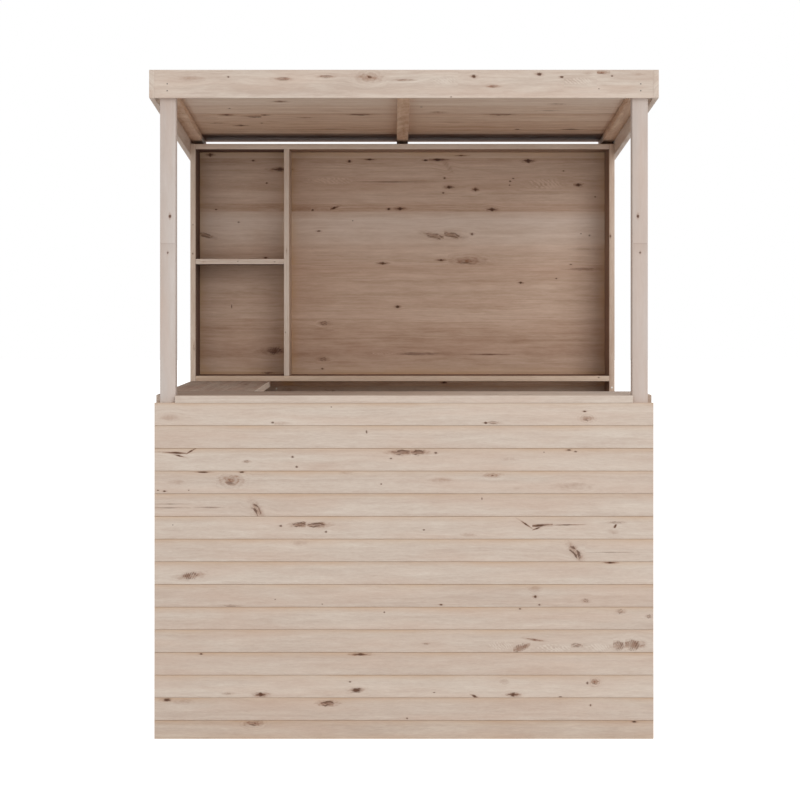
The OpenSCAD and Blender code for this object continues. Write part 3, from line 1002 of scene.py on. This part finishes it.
class GARDENBAR_OT_frame(bpy.types.Operator):
    """Set up the front posts and the battens behind the cladding"""
    bl_idname = "garden_bar.frame"
    bl_label = "Frame"

    def execute(self, context):
        arris = context.scene.garden_bar_sizes.frame_arris
        for side in ("left", "right"):
            node = f"front_post_{side}"
            low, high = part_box(node)
            post = block(f"{node}_timber", low, high)
            middle = (low[Y] + high[Y]) / 2
            push(post, lambda p: p[Z] > high[Z] - HAIR and p[Y] > middle,
                 (0, 0, -roof_fall() * (high[Y] - low[Y])))
            ease(post, arris)
            figure(post, Z, X, node, POST_KNOTS[side], shades=[(Z, Y, -1, POST_SHADES)])
            hand_in(post, timber("planed_spruce_frame"), "framing", node)
        battens = {
            "front_top_rail": (X, Z), "front_bottom_rail": (X, Z), "front_middle_stud": (Z, X),
            "left_top_rail": (Y, Z), "left_bottom_rail": (Y, Z), "left_middle_stud": (Z, Y),
            "left_rear_stud": (Z, Y), "right_top_rail": (Y, Z), "right_bottom_rail": (Y, Z),
            "right_rear_stud": (Z, Y),
        }
        for node, (run, rise) in battens.items():
            batten = plain_board(node, run, rise, arris, spacing=0.6)
            hand_in(batten, timber("planed_spruce_frame"), "framing", node)
        return {"FINISHED"}


class GARDENBAR_OT_counters(bpy.types.Operator):
    """Lay the front counter round the posts and the return counter into the shelf unit"""
    bl_idname = "garden_bar.counters"
    bl_label = "Counters"

    def execute(self, context):
        sizes = context.scene.garden_bar_sizes
        low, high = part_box("front_counter")
        tongue_front = low[Y] + sizes.tongue_setback
        left_low, left_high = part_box("front_post_left")
        right_low, right_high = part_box("front_post_right")
        offcuts = [(left_low[X], low[Y], left_high[X], left_high[Y]),
                   (right_low[X], low[Y], right_high[X], right_high[Y]),
                   (low[X], low[Y], left_low[X], tongue_front),
                   (right_high[X], low[Y], high[X], tongue_front)]
        counter = outline_board("front_counter_timber", low, high, offcuts)
        self.finish(counter, "front_counter", X, Y, low, high, 0.1,
                    [(X, Z, 1, COUNTER_SHADES), (X, Y, -1, COUNTER_END_SHADES)])

        low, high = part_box("return_counter")
        side_low, side_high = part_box("side_board_left")
        counter = outline_board("return_counter_timber", low, high,
                                [(low[X], side_low[Y], side_high[X], high[Y])])
        self.finish(counter, "return_counter", Y, X, low, high, 1.35)
        return {"FINISHED"}

    def finish(self, counter, node, run, rise, low, high, top_shade, shades=()):
        """Rounds a counter's top edges, figures its staves and hands it in, its top deeper in colour as
        painted shade.
        """
        sizes = bpy.context.scene.garden_bar_sizes
        ease(counter, sizes.counter_arris, lambda p: p[Z] > high[Z] - HAIR, steps=3)
        count = round((high[rise] - low[rise]) / sizes.counter_stave)
        seams = [low[rise] + i * sizes.counter_stave for i in range(1, count)]
        figure(counter, run, rise, node, seams=seams, spacing=0.7, depths=[(Z, 1, top_shade)],
               shades=shades)
        hand_in(counter, timber("planed_spruce_cladding"), "counter", node)


class GARDENBAR_OT_shelf_unit(bpy.types.Operator):
    """Build the shelf unit and its back panel"""
    bl_idname = "garden_bar.shelf_unit"
    bl_label = "Shelf unit"

    def execute(self, context):
        sizes = context.scene.garden_bar_sizes
        boards = {
            "side_board_left": Z, "side_board_right": Z, "divider_board": Z,
            "top_board": X, "middle_board": X, "base_board": X, "small_shelf": X,
        }
        for node, run in boards.items():
            board = plain_board(node, run, Y, sizes.shelf_arris, spacing=0.5,
                                edge_knots=EDGE_KNOTS.get(node, ()), **BOARD_LOOKS[node])
            hand_in(board, timber("planed_spruce_shelving"), "shelf_unit", node)
        self.back_panel(sizes)
        self.screws(sizes)
        return {"FINISHED"}

    def back_panel(self, sizes):
        """The panel of glued staves behind the shelves, with painted warm shade where their boards meet
        it.
        """
        low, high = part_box("upper_back_panel")
        seams = [high[Z] - sizes.panel_head - i * sizes.panel_stave for i in range(5)]
        panel = block("upper_back_panel_timber", low, high)
        ease(panel, sizes.shelf_arris)
        abuts = [(X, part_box("side_board_left")[1][X]), (X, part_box("side_board_right")[0][X]),
                 (Z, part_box("top_board")[0][Z]), (Z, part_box("middle_board")[1][Z]),
                 *[(X, corner[X]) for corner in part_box("divider_board")]]
        for axis, place in abuts:
            for offset in (-sizes.panel_joint_shade, 0, sizes.panel_joint_shade):
                if low[axis] < place + offset < high[axis]:
                    saw(panel, axis, place + offset)
        figure(panel, X, Z, "upper_back_panel", BACK_PANEL_KNOTS, seams, abuts=abuts, abuts_way=-1,
               shades=[(Z, Y, -1, BACK_PANEL_SHADES)])
        hand_in(panel, timber("planed_spruce_panel"), "shelf_unit", "upper_back_panel")

    def screws(self, sizes):
        """A screw in the right side board's front edge and one in the rear wall."""
        low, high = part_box("side_board_right")
        screw_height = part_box("front_counter")[0][Z]
        edge_screw = ((low[X] + high[X]) / 2, low[Y], screw_height)
        wall_screw = (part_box("divider_board")[0][X] - WALL_SCREW[0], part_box("rear_cladding")[0][Y],
                      screw_height - WALL_SCREW[1])
        heads = fixing_heads("unit_screws", sizes.screw_head, [edge_screw, wall_screw])
        hand_in(heads, zinc_with_painted_glint(), "shelf_unit")


class GARDENBAR_OT_roof(bpy.types.Operator):
    """Build the rafters, the roof panel and the fascias"""
    bl_idname = "garden_bar.roof"
    bl_label = "Roof"

    def execute(self, context):
        sizes = context.scene.garden_bar_sizes
        roofing = timber("planed_spruce_roofing")
        low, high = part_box("roof_panel")
        fall = roof_fall() * (high[Y] - low[Y])
        thickness = high[Z] - low[Z] - fall
        seams = [low[Y] + sizes.roof_head + i * sizes.roof_stave for i in range(8)]
        panel = sloped_board("roof_panel", thickness, X, Y, sizes.shelf_arris, knots=ROOF_KNOTS,
                             seams=seams, shades=[(Y, Z, -1, ROOF_SHADES)])
        hand_in(panel, roofing, "roof_timber", "roof_panel")
        for place in ("left", "centre", "right"):
            node = f"rafter_{place}"
            rafter = sloped_board(node, sizes.rafter_depth, Y, X, sizes.frame_arris,
                                  seat=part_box("top_board")[1][Z], knots=())
            hand_in(rafter, roofing, "roof_timber", node)
        self.fascias(sizes)
        return {"FINISHED"}

    def fascias(self, sizes):
        """The side fascias, and the front one with two nails into each post."""
        low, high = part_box("front_fascia")
        for side in ("left", "right"):
            node = f"side_fascia_{side}"
            fascia = sloped_board(node, high[Z] - low[Z], Y, Z, sizes.fascia_arris, spacing=0.4,
                                  depths=[(Y, -1, -0.25)])
            hand_in(fascia, timber("planed_spruce_fascia"), "roof_timber", node)
        fascia = plain_board("front_fascia", X, Z, sizes.fascia_arris, knots=FASCIA_KNOTS)
        push(fascia, lambda p: p[Y] < low[Y] + HAIR, (0, sizes.head_proud, 0))
        hand_in(fascia, timber("planed_spruce_fascia"), "roof_timber", "front_fascia")
        post_low, post_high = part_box("front_post_right")
        nails = [(side * (post_low[X] + post_high[X]) / 2, low[Y] + sizes.head_proud, low[Z] + up)
                 for side in (-1, 1) for up in NAIL_HEIGHTS]
        heads = fixing_heads("fascia_nails", sizes.nail_head, nails)
        hand_in(heads, dull_zinc(), "roof_timber")


class GARDENBAR_OT_stage(bpy.types.Operator):
    """Lay the floor and set the lamps, the background and the camera"""
    bl_idname = "garden_bar.stage"
    bl_label = "Stage"

    def execute(self, context):
        scene = context.scene
        bpy.ops.object.select_all(action="DESELECT")
        bpy.ops.mesh.primitive_plane_add(size=FLOOR_SIZE, calc_uvs=False)
        floor = context.object
        floor.name = "floor"
        floor.data.materials.append(self.floor_finish())

        scene.world = bpy.data.worlds.new("studio")
        put = blank(scene.world)
        light = put("Background", [WHITE, ROOM_LIGHT])
        backdrop = put("Background", [WHITE, 1.0])
        put("OutputWorld", [put("MixShader", [self.seen_directly(put), light, backdrop])])

        for name, lamp in LAMPS.items():
            self.lamp(name, *lamp)

        bpy.ops.object.camera_add(location=CAMERA_PLACE, rotation=(math.pi / 2, 0, 0))
        scene.camera = context.object
        camera = scene.camera.data
        camera.lens = CAMERA_LENS
        camera.sensor_width = 36
        camera.shift_x, camera.shift_y = CAMERA_SHIFT
        camera.clip_end = 200
        scene.view_settings.view_transform = "Standard"
        return {"FINISHED"}

    def seen_directly(self, put):
        """1 for rays that see a surface from the camera, straight or by way of gloss or glass."""
        rays = put("LightPath").outputs
        seen = put("Math", [rays["Is Camera Ray"], rays["Is Glossy Ray"]], "MAXIMUM")
        return put("Math", [seen, rays["Is Transmission Ray"]], "MAXIMUM")

    def floor_finish(self):
        """Pale studio floor: it bounces plain light, shows as white and keeps the bar's shadow."""
        material = bpy.data.materials.new("painted_studio_floor")
        put = blank(material)
        paint = put("BsdfDiffuse", [(0.8, 0.8, 0.8, 1)])
        bright = put("AddShader", [paint, put("Emission", [WHITE, FLOOR_GLOW])])
        put("OutputMaterial", [put("MixShader", [self.seen_directly(put), paint, bright])])
        return material

    def lamp(self, name, place, size, power):
        """A soft lamp of a width and height, turned to the middle of the bar."""
        turn = (Vector(LAMP_TARGET) - Vector(place)).to_track_quat("-Z", "Y").to_euler()
        bpy.ops.object.light_add(type="AREA", location=place, rotation=turn)
        lamp = bpy.context.object
        lamp.name = name
        lamp.data.shape = "RECTANGLE"
        lamp.data.size, lamp.data.size_y = size
        lamp.data.energy = power


class GARDENBAR_PT_panel(bpy.types.Panel):
    """Lists the steps of the bar and the sizes and colours that they use"""
    bl_idname = "GARDENBAR_PT_panel"
    bl_label = "Garden Bar"
    bl_space_type = "VIEW_3D"
    bl_region_type = "UI"
    bl_category = "Garden Bar"

    def draw(self, context):
        for step in STEPS:
            self.layout.operator(step.bl_idname)
        for group in (context.scene.garden_bar_sizes, context.scene.garden_bar_colours):
            box = self.layout.box()
            for name in group.bl_rna.properties.keys():
                if name not in {"rna_type", "name"}:
                    box.prop(group, name)


STEPS = (GARDENBAR_OT_cladding, GARDENBAR_OT_frame, GARDENBAR_OT_counters,
         GARDENBAR_OT_shelf_unit, GARDENBAR_OT_roof, GARDENBAR_OT_stage)
CLASSES = (GardenBarSizes, GardenBarColours, *STEPS, GARDENBAR_PT_panel)


def register():
    for each in CLASSES:
        bpy.utils.register_class(each)
    bpy.types.Scene.garden_bar_sizes = PointerProperty(type=GardenBarSizes)
    bpy.types.Scene.garden_bar_colours = PointerProperty(type=GardenBarColours)


def unregister():
    del bpy.types.Scene.garden_bar_colours
    del bpy.types.Scene.garden_bar_sizes
    for each in reversed(CLASSES):
        bpy.utils.unregister_class(each)


def main():
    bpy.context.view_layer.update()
    register()
    bpy.ops.garden_bar.cladding()
    bpy.ops.garden_bar.frame()
    bpy.ops.garden_bar.counters()
    bpy.ops.garden_bar.shelf_unit()
    bpy.ops.garden_bar.roof()
    bpy.ops.garden_bar.stage()


if __name__ == "__main__":
    main()
